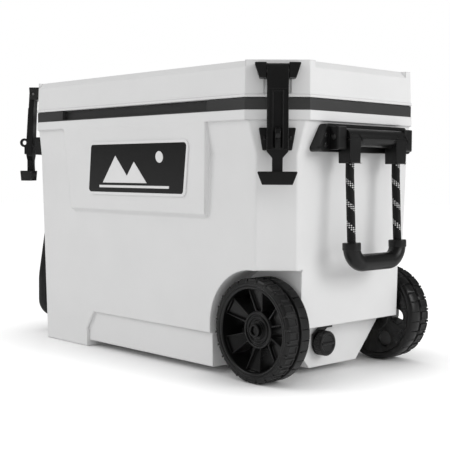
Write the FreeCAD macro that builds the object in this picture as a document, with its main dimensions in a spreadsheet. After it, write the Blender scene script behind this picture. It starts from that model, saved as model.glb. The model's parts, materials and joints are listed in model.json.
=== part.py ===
import FreeCAD, Part
import math
import os
import re

import Sketcher

# A wheeled hard cooler.  X runs along the length with the wheels at +X, the badge faces -Y,
# Z is up, and the origin is on the floor under the middle of the tub.  All sizes are in mm.
SIZES = {
    # tub
    "body_length": 662, "body_width": 367, "corner_cut": 65.6, "body_height": 390.5,
    "rim_height": 14.3, "ledge_inset": 5, "ledge_corner": 58.4,
    "slant_height": 48, "slant_inset": 15, "slant_corner": 41.2,
    "base_inset": 21, "base_corner": 44, "base_height": 10, "foot_length": 190,
    "shell_wall": 3, "liner_wall": 2.5, "foam_side": 42, "floor_height": 30,
    "liner_draft": 14, "liner_corner": 48, "step_length": 160, "step_height": 186,
    # raised front panel, front recess and its depth
    "panel_half": 183.5, "panel_drop": 146, "panel_depth": 9, "panel_lean": 9,
    "recess_top": 62, "recess_depth": 5, "recess_left": 122,
    # collar between tub and lid
    "band_height": 16.6, "band_inset": 1, "grip_half": 186, "grip_depth": 10,
    # lid
    "lid_height": 52, "lid_gap": 1, "lip_height": 4, "lid_step": 1.5, "lid_draft": 1.5,
    "pad_x": 264, "pad_y": 105, "bevel_drop": 11, "bevel_run": 9, "lid_wall": 3,
    "plug_gap": 3, "plug_depth": 20, "gasket_width": 8, "gasket_gap": 0.4, "pocket_half": 19,
    "pocket_depth": 1,
    # wheels
    "wheel_radius": 76, "wheel_x": 262, "wheel_inner": 119, "wheel_width": 46, "arch_gap": 11,
    "arch_wall": 113, "axle_radius": 6, "axle_fit": 0.06, "tyre_depth": 11, "hub_radius": 28,
    "disc_wall": 5, "tread_depth": 3.5, "spoke_width": 15, "hub_recess": 14, "bush_radius": 10, "washer_wall": 1.6,
    "block_face": 277, "block_top": 78, "block_slope": 50,
    # drain
    "drain_y": -33, "drain_z": 37, "drain_radius": 13, "drain_bore": 8, "drain_reach": 13,
    "cap_radius": 19, "cap_length": 14, "cap_fit": 0.35,
    # latches
    "pin_radius": 2.5, "pin_fit": 0.06, "pin_out": 12, "pin_drop": 17, "head_radius": 9.6,
    "strap_half": 15, "strap_slot": 6, "strap_wall": 11, "strap_out": 27.7, "neck_half": 7.3,
    "tee_half": 28, "tee_height": 18.3, "tee_drop": 156, "ear_half": 32.5, "ear_taper": 7,
    "ear_drop": 5.5, "ear_height": 21.5, "slot_drop": 46.5, "slot_length": 76, "slot_depth": 8,
    "keeper_half": 26, "keeper_taper": 5.5, "keeper_height": 31.5, "keeper_drop": 11.2,
    "keeper_out": 10, "eye_half": 3.5, "eye_bore": 4, "eye_radius": 8, "eye_out": 34,
    "eye_rise": 18,
    # rope handles
    "bracket_half": 100, "bracket_height": 40, "bracket_drop": 18, "bracket_face": 8,
    "bar_radius": 13, "bar_drop": 37, "bar_out": 16, "socket_y": 54, "socket_width": 25,
    "socket_length": 37, "rod_radius": 4, "rope_radius": 6.25, "rope_length": 165.5,
    "rope_lean": 6, "rope_hold": 22, "ear_width": 20, "grip_radius": 12.5, "grip_length": 30, "grip_bend": 24, "grip_wall": 0.3,
    # tow handle
    "tow_half": 98, "tow_flare": 24, "tow_radius": 9, "tow_drop": 95, "tow_floor": 34,
    "tow_out": 12, "tow_bend": 26, "tow_grip_radius": 17, "tow_grip_half": 84,
    # hinges
    "hinge_x": 170, "hinge_half": 30, "hinge_out": 8, "knuckle_radius": 6.5, "hinge_pin": 3,
    "knuckle_half": 14, "leaf_wall": 4, "leaf_height": 42,
    # badge
    "badge_left": 118, "badge_right": 148, "badge_top": 352, "badge_low": 265, "badge_slant": 14,
    "badge_wall": 2.4, "badge_edge": 4.5, "badge_round": 10,
    # small fastenings
    "screw_radius": 4, "screw_head": 2.4,
}

doc = FreeCAD.newDocument("WheeledCooler")
sheet = doc.addObject("Spreadsheet::Sheet", "Sizes")
for row, (alias, value) in enumerate(SIZES.items(), start=1):
    sheet.set(f"A{row}", alias.replace("_", " "))
    sheet.set(f"B{row}", str(value))
    sheet.setAlias(f"B{row}", alias)
doc.recompute()

SIDES = {"right": 1, "left": -1}
FLANKS = {"front": -1, "back": 1}
TURNS = {"x": FreeCAD.Rotation(FreeCAD.Vector(0, 1, 0), 90),
         "y": FreeCAD.Rotation(FreeCAD.Vector(1, 0, 0), -90),
         "z": FreeCAD.Rotation()}
PARTS = {}

# Heights and faces that several pieces share, as rules over the sheet.
RIM_LOW = "(body_height - rim_height)"
SLANT_LOW = "(body_height - rim_height - slant_height)"
BAND_TOP = "(body_height + band_height)"
LID_LOW = "(body_height + band_height + lid_gap)"
LID_TOP = "(body_height + band_height + lid_gap + lid_height)"
ARCH_RADIUS = "(wheel_radius + arch_gap)"
HOLLOW_INSET = "(lid_step + lid_wall + bevel_run)"


def rule(text):
    """A rule such as 'body_length / 2' as an expression over the sheet's cells."""
    return re.sub(r"[a-z][a-z_]*", lambda word: "Sizes." + word[0] if word[0] in SIZES else word[0], text)


def number(alias):
    return float(getattr(sheet, alias))


def bind(thing, **rules):
    for path, text in rules.items():
        thing.setExpression(path, rule(text))
    return thing


def at(thing, x="0", y="0", z="0", turn=None):
    """Put a piece at x, y, z, turned by a fixed rotation."""
    thing.Placement = FreeCAD.Placement(FreeCAD.Vector(), turn or FreeCAD.Rotation())
    for axis, text in zip("xyz", (x, y, z)):
        thing.setExpression(f"Placement.Base.{axis}", rule(text))
    return thing


def box(x, y, z, turn=None):
    """A block between two rules on each axis."""
    block = doc.addObject("Part::Box", "Block")
    bind(block, Length=f"{x[1]} - ({x[0]})", Width=f"{y[1]} - ({y[0]})", Height=f"{z[1]} - ({z[0]})")
    return at(block, x[0], y[0], z[0], turn)


def rod(axis, radius, start, length):
    """A round bar from a start point along an axis."""
    bar = bind(doc.addObject("Part::Cylinder", "Bar"), Radius=radius, Height=length)
    return at(bar, *start, turn=TURNS[axis])


def fuse(*pieces):
    whole = doc.addObject("Part::MultiFuse", "Union")
    whole.Shapes = list(pieces)
    whole.Refine = True
    return whole


def cut(base, *tools):
    left = doc.addObject("Part::Cut", "Cut")
    left.Base = base
    left.Tool = tools[0] if len(tools) == 1 else fuse(*tools)
    left.Refine = True
    return left


def common(base, tool):
    both = doc.addObject("Part::Common", "Overlap")
    both.Base = base
    both.Tool = tool
    return both


def group(*pieces):
    """Identical pieces kept apart in one node."""
    several = doc.addObject("Part::Compound", "Group")
    several.Links = list(pieces)
    return several


def keep(name, piece):
    """Name a finished sub-part: its label is its file's name."""
    piece.Label = name
    PARTS[name] = piece
    return piece


def outline_sketch(body, role, outline, offset="0"):
    """A closed outline whose corners are each bound to the sheet."""
    plane = next(item for item in body.Origin.OriginFeatures if item.Role == role)
    sketch = body.newObject("Sketcher::SketchObject", "Outline")
    sketch.AttachmentSupport = [(plane, "")]
    sketch.MapMode = "FlatFace"
    sketch.setExpression("AttachmentOffset.Base.z", rule(offset))
    count = len(outline)
    ring = [FreeCAD.Vector(math.cos(math.tau * i / count), math.sin(math.tau * i / count)) * 100
            for i in range(count)]
    for index, start in enumerate(ring):
        sketch.addGeometry(Part.LineSegment(start, ring[(index + 1) % count]))
    for index in range(count):
        sketch.addConstraint(Sketcher.Constraint("Coincident", index, 2, (index + 1) % count, 1))
    for index, (across, along) in enumerate(outline):
        places = (("DistanceX", across, ring[index].x), ("DistanceY", along, ring[index].y))
        for kind, text, first in places:
            slot = sketch.addConstraint(Sketcher.Constraint(kind, -1, 1, index, 1, first))
            sketch.setExpression(f"Constraints[{slot}]", rule(text))
    return sketch


def plate(role, outline, thickness, offset="0", both=False, round_off=None):
    """A pad on an origin plane.  XZ pads grow towards -Y, YZ pads towards +X, XY pads up."""
    body = doc.addObject("PartDesign::Body", "Plate")
    pad = body.newObject("PartDesign::Pad", "Pad")
    pad.Profile = outline_sketch(body, role, outline, offset)
    pad.SideType = "Symmetric" if both else "One side"
    bind(pad, Length=thickness)
    body.Tip = pad
    if round_off:
        doc.recompute()
        normal = {"XZ_Plane": 1, "YZ_Plane": 0, "XY_Plane": 2}[role]
        edges = [f"Edge{i}" for i, edge in enumerate(pad.Shape.Edges, start=1)
                 if abs(edge.tangentAt(edge.FirstParameter)[normal]) > 0.999]
        fillet = body.newObject("PartDesign::Fillet", "Corners")
        fillet.Base = (pad, edges)
        bind(fillet, Radius=round_off)
        body.Tip = fillet
    return body


def octagon(half_x, half_y, corner):
    """A rectangle with its four corners cut at 45 degrees."""
    points = []
    for right, up in ((1, 1), (-1, 1), (-1, -1), (1, -1)):
        near = (f"{right} * ({half_x})", f"{up} * ({half_y} - ({corner}))")
        far = (f"{right} * ({half_x} - ({corner}))", f"{up} * ({half_y})")
        points += [near, far] if right * up > 0 else [far, near]
    return points


def frustum(low, high):
    """A straight-sided solid between two octagons, each given as (z, inset, corner)."""
    body = doc.addObject("PartDesign::Body", "Frustum")
    sketches = [outline_sketch(body, "XY_Plane",
                               octagon(f"body_length / 2 - ({inset})", f"body_width / 2 - ({inset})", corner), z)
                for z, inset, corner in (low, high)]
    loft = body.newObject("PartDesign::AdditiveLoft", "Loft")
    loft.Profile = sketches[0]
    loft.Sections = sketches[1:]
    loft.Ruled = True
    return body


def corner_inside(corner, inset):
    """The cut of an octagon's corner after all its sides have moved in by the same inset."""
    return f"({corner} - 0.586 * ({inset}))"


def face_turn(side):
    """The turn that brings a piece built facing -Y onto the right or left corner face."""
    return FreeCAD.Rotation(FreeCAD.Vector(0, 0, 1), 45 * side)


def corner_at(piece, side):
    """Put a piece that was built about the middle of a rim corner face onto that face."""
    return at(piece, f"{side} * (body_length / 2 - corner_cut / 2)", "-(body_width / 2 - corner_cut / 2)",
              "0", face_turn(side))


# ---------------------------------------------------------------- tub
def tub_outside():
    rim = frustum((RIM_LOW, "0", "corner_cut"), ("body_height", "0", "corner_cut"))
    slant = frustum((SLANT_LOW, "slant_inset", "slant_corner"), (RIM_LOW, "ledge_inset", "ledge_corner"))
    wall = frustum(("0", "base_inset", "base_corner"), (SLANT_LOW, "slant_inset", "slant_corner"))
    panel_low = f"({RIM_LOW} - panel_drop)"
    side_view = [("-body_width / 2", RIM_LOW), ("-body_width / 2 + panel_lean", f"{panel_low} + panel_depth"),
                 ("-body_width / 2 + slant_inset + panel_depth", panel_low),
                 ("-body_width / 2 + slant_inset + panel_depth", RIM_LOW)]
    panel = plate("YZ_Plane", side_view, "2 * panel_half", both=True)
    front_view = [("-panel_half", RIM_LOW), ("panel_half", RIM_LOW),
                  ("panel_half - panel_depth", f"{panel_low} + panel_depth"),
                  ("panel_half - 2.3 * panel_depth", panel_low),
                  ("-panel_half + 2.3 * panel_depth", panel_low),
                  ("-panel_half + panel_depth", f"{panel_low} + panel_depth")]
    panel = common(panel, plate("XZ_Plane", front_view, "body_width"))
    return fuse(rim, slant, wall, panel)


def wheel_space(grow="0"):
    """Both wheel arches, from the outside in to the arch's inner wall."""
    arches = []
    for flank in FLANKS.values():
        inner = f"{flank} * (arch_wall - ({grow}))"
        outer = f"{flank} * body_width"
        span = (inner, outer) if flank > 0 else (outer, inner)
        radius = f"({ARCH_RADIUS} + {grow})"
        arches.append(rod("y", radius, ("wheel_x", span[0], "wheel_radius"), f"{span[1]} - ({span[0]})"))
        arches.append(box(("wheel_x", "body_length"), span, ("-body_height", f"wheel_radius + {radius}")))
        arches.append(box((f"wheel_x - {radius}", "body_length"), span, ("-body_height", "wheel_radius")))
    return fuse(*arches)


def end_space(grow="0"):
    """The room under the wheel end, in front of the lower block and beside its sloping edges."""
    under = box((f"block_face - ({grow})", "body_length"), ("-body_width", "body_width"),
                ("-body_height", f"block_top + ({grow})"))
    slopes = []
    for flank in FLANKS.values():
        edge = f"{flank} * (arch_wall - ({grow}))"
        outline = [(edge, "-body_height"), (edge, f"block_top + ({grow})"),
                   (f"{flank} * (arch_wall - ({grow}) - 8)", f"block_top - 12 + ({grow})"),
                   (f"{flank} * (arch_wall - block_slope - 8 - ({grow}))", "base_height"),
                   (f"{flank} * (arch_wall - block_slope - 8 - ({grow}))", "-body_height")]
        slopes.append(plate("YZ_Plane", outline, "body_length", "wheel_x - wheel_radius * 0.4"))
    return fuse(under, *slopes)


def tub_shell():
    bottom = box(("-body_length / 2 + foot_length", "body_length"), ("-body_width", "body_width"),
                 ("-body_height", "base_height"))
    tools = [bottom, wheel_space(), end_space()]
    for flank in FLANKS.values():
        face = f"{flank} * (body_width / 2 - base_inset - recess_depth)"
        out = f"{flank} * body_width"
        span = (face, out) if flank > 0 else (out, face)
        outline = [("-recess_left - 20", "-body_height"), ("-recess_left - 20", "recess_top / 2"),
                   ("-recess_left", "recess_top"), ("wheel_x", "recess_top"), ("wheel_x", "-body_height")]
        recess = plate("XZ_Plane", outline, f"{span[1]} - ({span[0]})", f"-({span[1]})")
        tools.append(recess)
    return cut(tub_outside(), *tools)


def tub_hollow():
    """The room inside the outer skin, which foam and liner fill."""
    main = frustum(("base_height + shell_wall", "base_inset + shell_wall + recess_depth", "base_corner"),
                   (SLANT_LOW, "slant_inset + shell_wall", "slant_corner"))
    upper = frustum((SLANT_LOW, "slant_inset + shell_wall", "slant_corner"),
                    ("body_height", "ledge_inset + 2 * shell_wall", "ledge_corner"))
    return cut(fuse(main, upper), wheel_space("shell_wall"), end_space("shell_wall"))


def liner_solid(grow="0"):
    """The food chamber's outside at a given growth: nothing is the clear inside."""
    body = frustum((f"floor_height - ({grow})", f"foam_side + liner_draft - ({grow})", "liner_corner"),
                   ("body_height", f"foam_side - ({grow})", "liner_corner"))
    step = box((f"step_length + ({grow})", "body_length"), ("-body_width", "body_width"),
               ("-body_height", f"step_height - ({grow})"))
    return cut(body, step)


def drain_bore(radius):
    return rod("x", radius, ("step_length - 1", "drain_y", "drain_z + base_height"), "body_length")


def build_tub():
    hollow = tub_hollow()
    spout_hole = drain_bore("drain_radius")
    axle_hole = rod("y", "bush_radius", ("wheel_x", "-body_width / 2", "wheel_radius"), "body_width")
    keep("body_shell", cut(tub_shell(), hollow, spout_hole, axle_hole))
    keep("body_liner", cut(liner_solid("liner_wall"), liner_solid(), spout_hole))
    keep("body_foam", cut(hollow, liner_solid("liner_wall"), spout_hole, axle_hole))
    ring = frustum(("body_height", "band_inset", corner_inside("corner_cut", "band_inset")),
                   (BAND_TOP, "band_inset", corner_inside("corner_cut", "band_inset")))
    inside = frustum(("body_height - 1", "foam_side", "liner_corner"),
                     (f"{BAND_TOP} + 1", "foam_side", "liner_corner"))
    grip = box(("-grip_half", "grip_half"), ("-body_width", "-body_width / 2 + grip_depth"),
               ("body_height + 2", f"{BAND_TOP} + 1"))
    keep("rim_band", cut(ring, inside, grip))


# ---------------------------------------------------------------- lid
def lid_outside(grow="0"):
    """The lid's outside, or its inner face when grown inwards."""
    inset = f"lid_step + ({grow})"
    top_inset = f"lid_step + lid_draft + ({grow})"
    return frustum((f"{LID_LOW} + lip_height", inset, corner_inside("corner_cut", inset)),
                   (f"{LID_TOP} - ({grow})", top_inset, corner_inside("corner_cut", top_inset)))


def lid_bevels():
    """The slopes along the top edges between the corner pads."""
    tools = []
    for role, half, reach in (("YZ_Plane", "body_width / 2", "2 * pad_x"),
                              ("XZ_Plane", "body_length / 2", "2 * pad_y")):
        for way in (-1, 1):
            outline = [(f"{way} * ({half} - lid_step - lid_draft - bevel_run)", f"{LID_TOP} + 0.01"),
                       (f"{way} * ({half} + bevel_run)", f"{LID_TOP} + 0.01"),
                       (f"{way} * ({half} + bevel_run)", f"{LID_TOP} - 2 * bevel_drop"),
                       (f"{way} * ({half} - lid_step)", f"{LID_TOP} - bevel_drop")]
            tools.append(plate(role, outline, reach, both=True))
    return tools


def lid_solid():
    lip = frustum((LID_LOW, "0", "corner_cut"), (f"{LID_LOW} + lip_height", "0", "corner_cut"))
    low, high = f"{LID_LOW} + lip_height + 1", f"{LID_TOP} - pin_drop - head_radius"
    outline = [("-pocket_half", low), ("pocket_half", low), ("pocket_half", high), ("-pocket_half", high)]
    pockets = [corner_at(plate("XZ_Plane", outline, "body_width", "-(lid_step + lid_draft + pocket_depth)"), side)
               for side in SIDES.values()]
    return cut(fuse(lip, lid_outside()), *lid_bevels(), *pockets)


def lid_hollow():
    corner = corner_inside("corner_cut", HOLLOW_INSET)
    return frustum((LID_LOW, HOLLOW_INSET, corner), (f"{LID_TOP} - bevel_drop", HOLLOW_INSET, corner))


def plug(grow="0"):
    inset = f"foam_side + plug_gap + ({grow})"
    corner = corner_inside("liner_corner", f"plug_gap + ({grow})")
    return frustum((f"{LID_LOW} - plug_depth + ({grow})", inset, corner),
                   (f"{LID_LOW} + lid_wall", inset, corner))


def build_lid():
    keep("lid_shell", cut(lid_solid(), lid_hollow()))
    corner = corner_inside("corner_cut", HOLLOW_INSET)
    sheet_plate = frustum((LID_LOW, HOLLOW_INSET, corner), (f"{LID_LOW} + lid_wall", HOLLOW_INSET, corner))
    seat = gasket_ring("0")
    keep("lid_liner", cut(fuse(sheet_plate, plug()), plug("lid_wall"), seat))
    below = box(("-body_length", "body_length"), ("-body_width", "body_width"),
                ("0", f"{LID_LOW} + lid_wall"))
    keep("lid_foam", fuse(cut(lid_hollow(), below), plug("lid_wall")))
    keep("lid_gasket", gasket_ring("lid_gap - gasket_gap"))


def gasket_ring(drop):
    """A frame of seal round the plug; it reaches below the lid by the drop."""
    inner = "foam_side - 4"
    outer = "foam_side - 4 - gasket_width"
    levels = (f"{LID_LOW} - ({drop})", f"{LID_LOW} + lid_wall - 1")
    whole = frustum((levels[0], outer, "liner_corner + 4"), (levels[1], outer, "liner_corner + 4"))
    middle = frustum((f"{levels[0]} - 1", inner, "liner_corner + 2"),
                     (f"{levels[1]} + 1", inner, "liner_corner + 2"))
    return cut(whole, middle)


# ---------------------------------------------------------------- badge
def badge_outline(inset):
    low = f"(badge_low + ({inset}))"
    top = f"(badge_top - ({inset}))"
    return [(f"-badge_left + ({inset})", low), (f"badge_right - badge_slant - ({inset})", low),
            (f"badge_right - ({inset})", top), (f"-badge_left + badge_slant + ({inset})", top)]


def lean_back(piece, out):
    """Lean a badge piece onto the raised panel, whose face slopes in below the rim."""
    slope = "atan(panel_lean / (panel_drop - panel_depth))"
    at(piece, "0", f"-body_width / 2 + sin({slope}) * {RIM_LOW} - ({out}) * cos({slope})",
       f"{RIM_LOW} * (1 - cos({slope})) - ({out}) * sin({slope})",
       FreeCAD.Rotation(FreeCAD.Vector(1, 0, 0), 1))
    piece.setExpression("Placement.Rotation.Angle", rule(slope))
    return piece


def build_badge():
    backing = plate("XZ_Plane", badge_outline("0"), "badge_wall", round_off="badge_round")
    pocket = plate("XZ_Plane", badge_outline("badge_edge"), "badge_wall", "badge_wall / 2",
                   round_off="badge_round - badge_edge")
    keep("badge_plate", lean_back(cut(backing, pocket), "0"))
    field = plate("XZ_Plane", badge_outline("badge_edge"), "badge_wall / 2 - 0.3", "badge_wall / 2",
                  round_off="badge_round - badge_edge")
    keep("badge_field", lean_back(field, "0"))
    keep("badge_mark", lean_back(peaks(), "badge_wall - 0.3"))


def peaks():
    """A plain generic mark: two mountain peaks over a wave bar."""
    ground = "badge_low + 20"
    shapes = []
    for left, tip, right, height in ((-72, -34, 4, 44), (-16, 14, 44, 34)):
        outline = [(f"{left}", ground), (f"{right}", ground), (f"{tip}", f"{ground} + {height}")]
        shapes.append(plate("XZ_Plane", outline, "0.6"))
    bar = plate("XZ_Plane", [("-82", "badge_low + 12"), ("98", "badge_low + 12"), ("98", "badge_low + 16"),
                             ("-82", "badge_low + 16")], "0.6")
    sun = rod("y", "9", ("78", "-0.6", "badge_top - 26"), "0.6")
    return group(fuse(*shapes), bar, sun)


# ---------------------------------------------------------------- drain
def build_drain():
    height = "drain_z + base_height"
    pipe = rod("x", "drain_radius", ("step_length - 2", "drain_y", height),
               "block_face + drain_reach - step_length + 2")
    flange = rod("x", "drain_radius + 3", ("step_length - 2", "drain_y", height), "2")
    bore = rod("x", "drain_bore", ("0", "drain_y", height), "body_length")
    keep("drain_spout", cut(fuse(pipe, flange), bore))
    seal = rod("x", "drain_radius + 4", ("block_face", "drain_y", height), "2")
    keep("drain_seal", cut(seal, rod("x", "drain_radius", ("block_face - 1", "drain_y", height), "4")))
    loop = rod("x", "drain_radius + 6", ("block_face + 2", "drain_y", height), "2")
    strap = plate("YZ_Plane", [("drain_y - drain_radius - 6", height), ("drain_y - drain_radius", height),
                               ("drain_y + 14", "block_top - 10"), ("drain_y + 26", "block_top - 10"),
                               ("drain_y + 26", "block_top - 6"), ("drain_y - 4", "block_top - 6"),
                               ("drain_y - drain_radius - 6", f"{height} + 14")], "2", "block_face + 2")
    peg = rod("x", "2.5", ("block_face", "drain_y + 18", "block_top - 8"), "2")
    keep("drain_tether", cut(fuse(loop, strap, peg),
                             rod("x", "drain_radius", ("block_face - 1", "drain_y", height), "6")))
    cap = rod("x", "cap_radius", ("block_face + 4 + cap_fit", "drain_y", height), "cap_length")
    well = rod("x", "drain_radius + cap_fit", ("block_face + 3", "drain_y", height),
               "drain_reach - 3 + cap_fit")
    teeth = [at_ring(angle, height) for angle in range(0, 360, 30)]
    keep("drain_cap", cut(cap, well, *teeth))


def at_ring(angle, height):
    """A finger groove on the drain cap's rim."""
    across, up = math.cos(math.radians(angle)), math.sin(math.radians(angle))
    return rod("x", "2.4", ("block_face", f"drain_y + {across:.4f} * (cap_radius + 1)",
                            f"{height} + {up:.4f} * (cap_radius + 1)"), "body_length")


# ---------------------------------------------------------------- axle and wheels
def axle_bore():
    return rod("y", "axle_radius", ("wheel_x", "-body_width", "wheel_radius"), "2 * body_width")


def build_axle():
    half = "(wheel_inner + wheel_width - hub_recess + 4)"
    keep("axle", rod("y", "axle_radius", ("wheel_x", f"-{half}", "wheel_radius"), f"2 * {half}"))
    bushes = []
    washers = []
    for flank in FLANKS.values():
        low = "arch_wall - 20" if flank > 0 else "-arch_wall - 2"
        bush = rod("y", "bush_radius", ("wheel_x", low, "wheel_radius"), "22")
        bushes.append(cut(bush, axle_bore()))
        inner = "(wheel_inner - 0.5 - washer_wall)"
        outer = "(wheel_inner + wheel_width - hub_recess + 0.5)"
        for place in (inner, outer):
            start = place if flank > 0 else f"-{place} - washer_wall"
            disc = rod("y", "bush_radius + 3", ("wheel_x", start, "wheel_radius"), "washer_wall")
            washers.append(cut(disc, axle_bore()))
    keep("axle_bushes", group(*bushes))
    keep("axle_washers", group(*washers))
    nuts = []
    for flank in FLANKS.values():
        place = "(wheel_inner + wheel_width - hub_recess + 0.5 + washer_wall)"
        start = place if flank > 0 else f"-{place} - 5"
        nut = rod("y", "bush_radius", ("wheel_x", start, "wheel_radius"), "5")
        nuts.append(cut(nut, axle_bore()))
    keep("axle_push_nuts", group(*nuts))


def spoke(flank, angle):
    """One radial spoke from the hub to the rim, on the outer side of the disc."""
    thickness = "(wheel_width - disc_wall - 6)"
    bar = doc.addObject("Part::Box", "Spoke")
    bind(bar, Length="wheel_radius - tyre_depth - 4", Width=thickness, Height="spoke_width")
    start = "(wheel_inner + disc_wall)" if flank > 0 else f"-(wheel_inner + disc_wall + {thickness})"
    turn = FreeCAD.Rotation(FreeCAD.Vector(0, 1, 0), -angle)
    rise, run = math.sin(math.radians(angle)), math.cos(math.radians(angle))
    return at(bar, f"wheel_x + {rise:.5f} * spoke_width / 2", start,
              f"wheel_radius - {run:.5f} * spoke_width / 2", turn)


def wheel_pair(name, flank):
    def span(near, far):
        """A start and a length along Y between two distances from the middle plane."""
        return (near if flank > 0 else f"-({far})"), f"{far} - ({near})"

    def disc(radius, near, far):
        start, length = span(near, far)
        return rod("y", radius, ("wheel_x", start, "wheel_radius"), length)

    outer = "(wheel_inner + wheel_width)"
    rim_out = "wheel_radius - tyre_depth"
    rim = cut(disc(rim_out, "wheel_inner + 1", f"{outer} - 1"),
              disc(f"{rim_out} - disc_wall", "wheel_inner - 2", f"{outer} + 2"))
    web = disc("wheel_radius - tyre_depth - 1", "wheel_inner + 1", "wheel_inner + 1 + disc_wall")
    hub = disc("hub_radius", "wheel_inner", f"{outer} - hub_recess")
    spokes = [spoke(flank, 60 * index + 28) for index in range(6)]
    whole = fuse(rim, web, hub, *spokes)
    tools = [disc("axle_radius + axle_fit", "0", "body_width"),
             disc("hub_radius - 6", f"{outer} - hub_recess", f"{outer} + 1")]
    for index in range(6):
        angle = math.radians(60 * index + 58)
        start, length = span("wheel_inner - 5", "wheel_inner + disc_wall + 5")
        reach = "(wheel_radius * 0.62)"
        tools.append(rod("y", "12", (f"wheel_x + {math.cos(angle):.5f} * {reach}", start,
                                     f"wheel_radius + {math.sin(angle):.5f} * {reach}"), length))
    keep(f"wheel_{name}_core", cut(whole, *tools))
    tread = cut(disc("wheel_radius", "wheel_inner", outer), disc(rim_out, "0", "body_width"))
    middle = "wheel_inner + wheel_width / 2"
    groove = cut(disc("wheel_radius + 2", f"{middle} - 2", f"{middle} + 2"),
                 disc("wheel_radius - tread_depth", "0", "body_width"))
    keep(f"wheel_{name}_tyre", cut(tread, groove))


# ---------------------------------------------------------------- latches
PIN_HEIGHT = f"({LID_TOP} - pin_drop)"


def latch_plate(half, taper, low, high, out, back):
    """A flared plate on a corner face, wider at the top, from back to out in front of it."""
    outline = [(f"-({half} - {taper})", low), (f"{half} - {taper}", low), (half, high), (f"-{half}", high)]
    return plate("XZ_Plane", outline, f"{out} - ({back})", back, round_off="1.6")


def build_latch(name, side):
    pin_y = "-pin_out"
    low, high = f"{LID_TOP} - ear_drop - ear_height", f"{LID_TOP} - ear_drop"
    base = latch_plate("ear_half", "ear_taper", low, high, "1.6", "-6")
    ears = latch_plate("ear_half", "ear_taper", low, high, "pin_out + 6", "0")
    gap = box(("-strap_half - 0.6", "strap_half + 0.6"), ("-40", "-1.6"), (f"{low} - 1", f"{high} + 1"))
    bore = rod("x", "pin_radius", ("-60", pin_y, PIN_HEIGHT), "120")
    mount = corner_at(cut(fuse(base, cut(ears, gap)), bore), side)
    keep(f"latch_mount_{name}", cut(mount, lid_solid()))
    pin = rod("x", "pin_radius", ("-ear_half + 6", pin_y, PIN_HEIGHT), "2 * ear_half - 12")
    keep(f"latch_pin_{name}", corner_at(group(pin), side))
    keep(f"latch_strap_{name}", corner_at(strap(pin_y), side))
    build_keeper(name, side)


def strap(pin_y):
    slot_top = f"({LID_TOP} - slot_drop)"
    slot_low = f"({slot_top} - slot_length)"
    shoulder = f"({slot_low} - 6)"
    side_view = [("-pin_out - head_radius", PIN_HEIGHT), ("-pin_out - head_radius - 1", f"{PIN_HEIGHT} - 22"),
                 ("-strap_out", slot_low), ("-strap_out", f"{LID_TOP} - tee_drop - tee_height"),
                 ("-strap_out + strap_wall", f"{LID_TOP} - tee_drop - tee_height"),
                 ("-strap_out + strap_wall", slot_low), ("-pin_out - head_radius + 8.1", f"{PIN_HEIGHT} - 22"),
                 ("-pin_out", PIN_HEIGHT)]
    front_view = [("-strap_half", f"{LID_TOP}"), ("-strap_half", shoulder), ("-neck_half", f"{shoulder} - 9"),
                  ("-neck_half", f"{LID_TOP} - tee_drop - 1"), ("neck_half", f"{LID_TOP} - tee_drop - 1"),
                  ("neck_half", f"{shoulder} - 9"), ("strap_half", shoulder), ("strap_half", f"{LID_TOP}")]
    bar = common(plate("YZ_Plane", side_view, "2 * strap_half", both=True), plate("XZ_Plane", front_view, "60"))
    head = rod("x", "head_radius", ("-strap_half", pin_y, PIN_HEIGHT), "2 * strap_half")
    tee = plate("XZ_Plane", [("-tee_half + 7", f"{LID_TOP} - tee_drop - tee_height"),
                             ("tee_half - 7", f"{LID_TOP} - tee_drop - tee_height"),
                             ("tee_half", f"{LID_TOP} - tee_drop"), ("-tee_half", f"{LID_TOP} - tee_drop")],
                "19", "17", round_off="1.5")
    slot = box(("-strap_slot", "strap_slot"), ("-60", "-(strap_out - slot_depth)"), (slot_low, slot_top))
    bore = rod("x", "pin_radius + pin_fit", ("-60", pin_y, PIN_HEIGHT), "120")
    centre = f"({slot_low} + eye_rise)"
    eye = rod("x", "eye_radius", ("-eye_half", "-eye_out", centre), "2 * eye_half")
    rib = box(("-eye_half", "eye_half"), ("-eye_out", "-strap_out + strap_wall"),
              (f"{slot_low} - 3", f"{centre} + 5"))
    hole = rod("x", "eye_bore", ("-20", "-eye_out", centre), "40")
    body = cut(fuse(bar, head, tee), slot, bore)
    return cut(fuse(body, rib, eye), hole)


def build_keeper(name, side):
    top = f"({RIM_LOW} - keeper_drop)"
    low = f"({top} - keeper_height)"
    base = latch_plate("keeper_half", "keeper_taper", low, top, "keeper_out", "-12")
    nubs = [box((f"{edge} * (strap_half + 2.4) - 1.6", f"{edge} * (strap_half + 2.4) + 1.6"),
                ("-keeper_out - 6", "0"), (f"{top} - 17", f"{top} - 12")) for edge in (1, -1)]
    keeper = corner_at(fuse(base, *nubs), side)
    keep(f"latch_keeper_{name}", cut(keeper, tub_outside()))


# ---------------------------------------------------------------- rope handles
BAR_Z = "(body_height - bar_drop)"
BAR_X = "(body_length / 2 + bar_out)"
BAR_HALF = "(socket_y + socket_width / 2)"


def mirror_x(piece):
    turned = doc.addObject("Part::Mirroring", "Mirror")
    turned.Source = piece
    turned.Normal = FreeCAD.Vector(1, 0, 0)
    return turned


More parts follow.
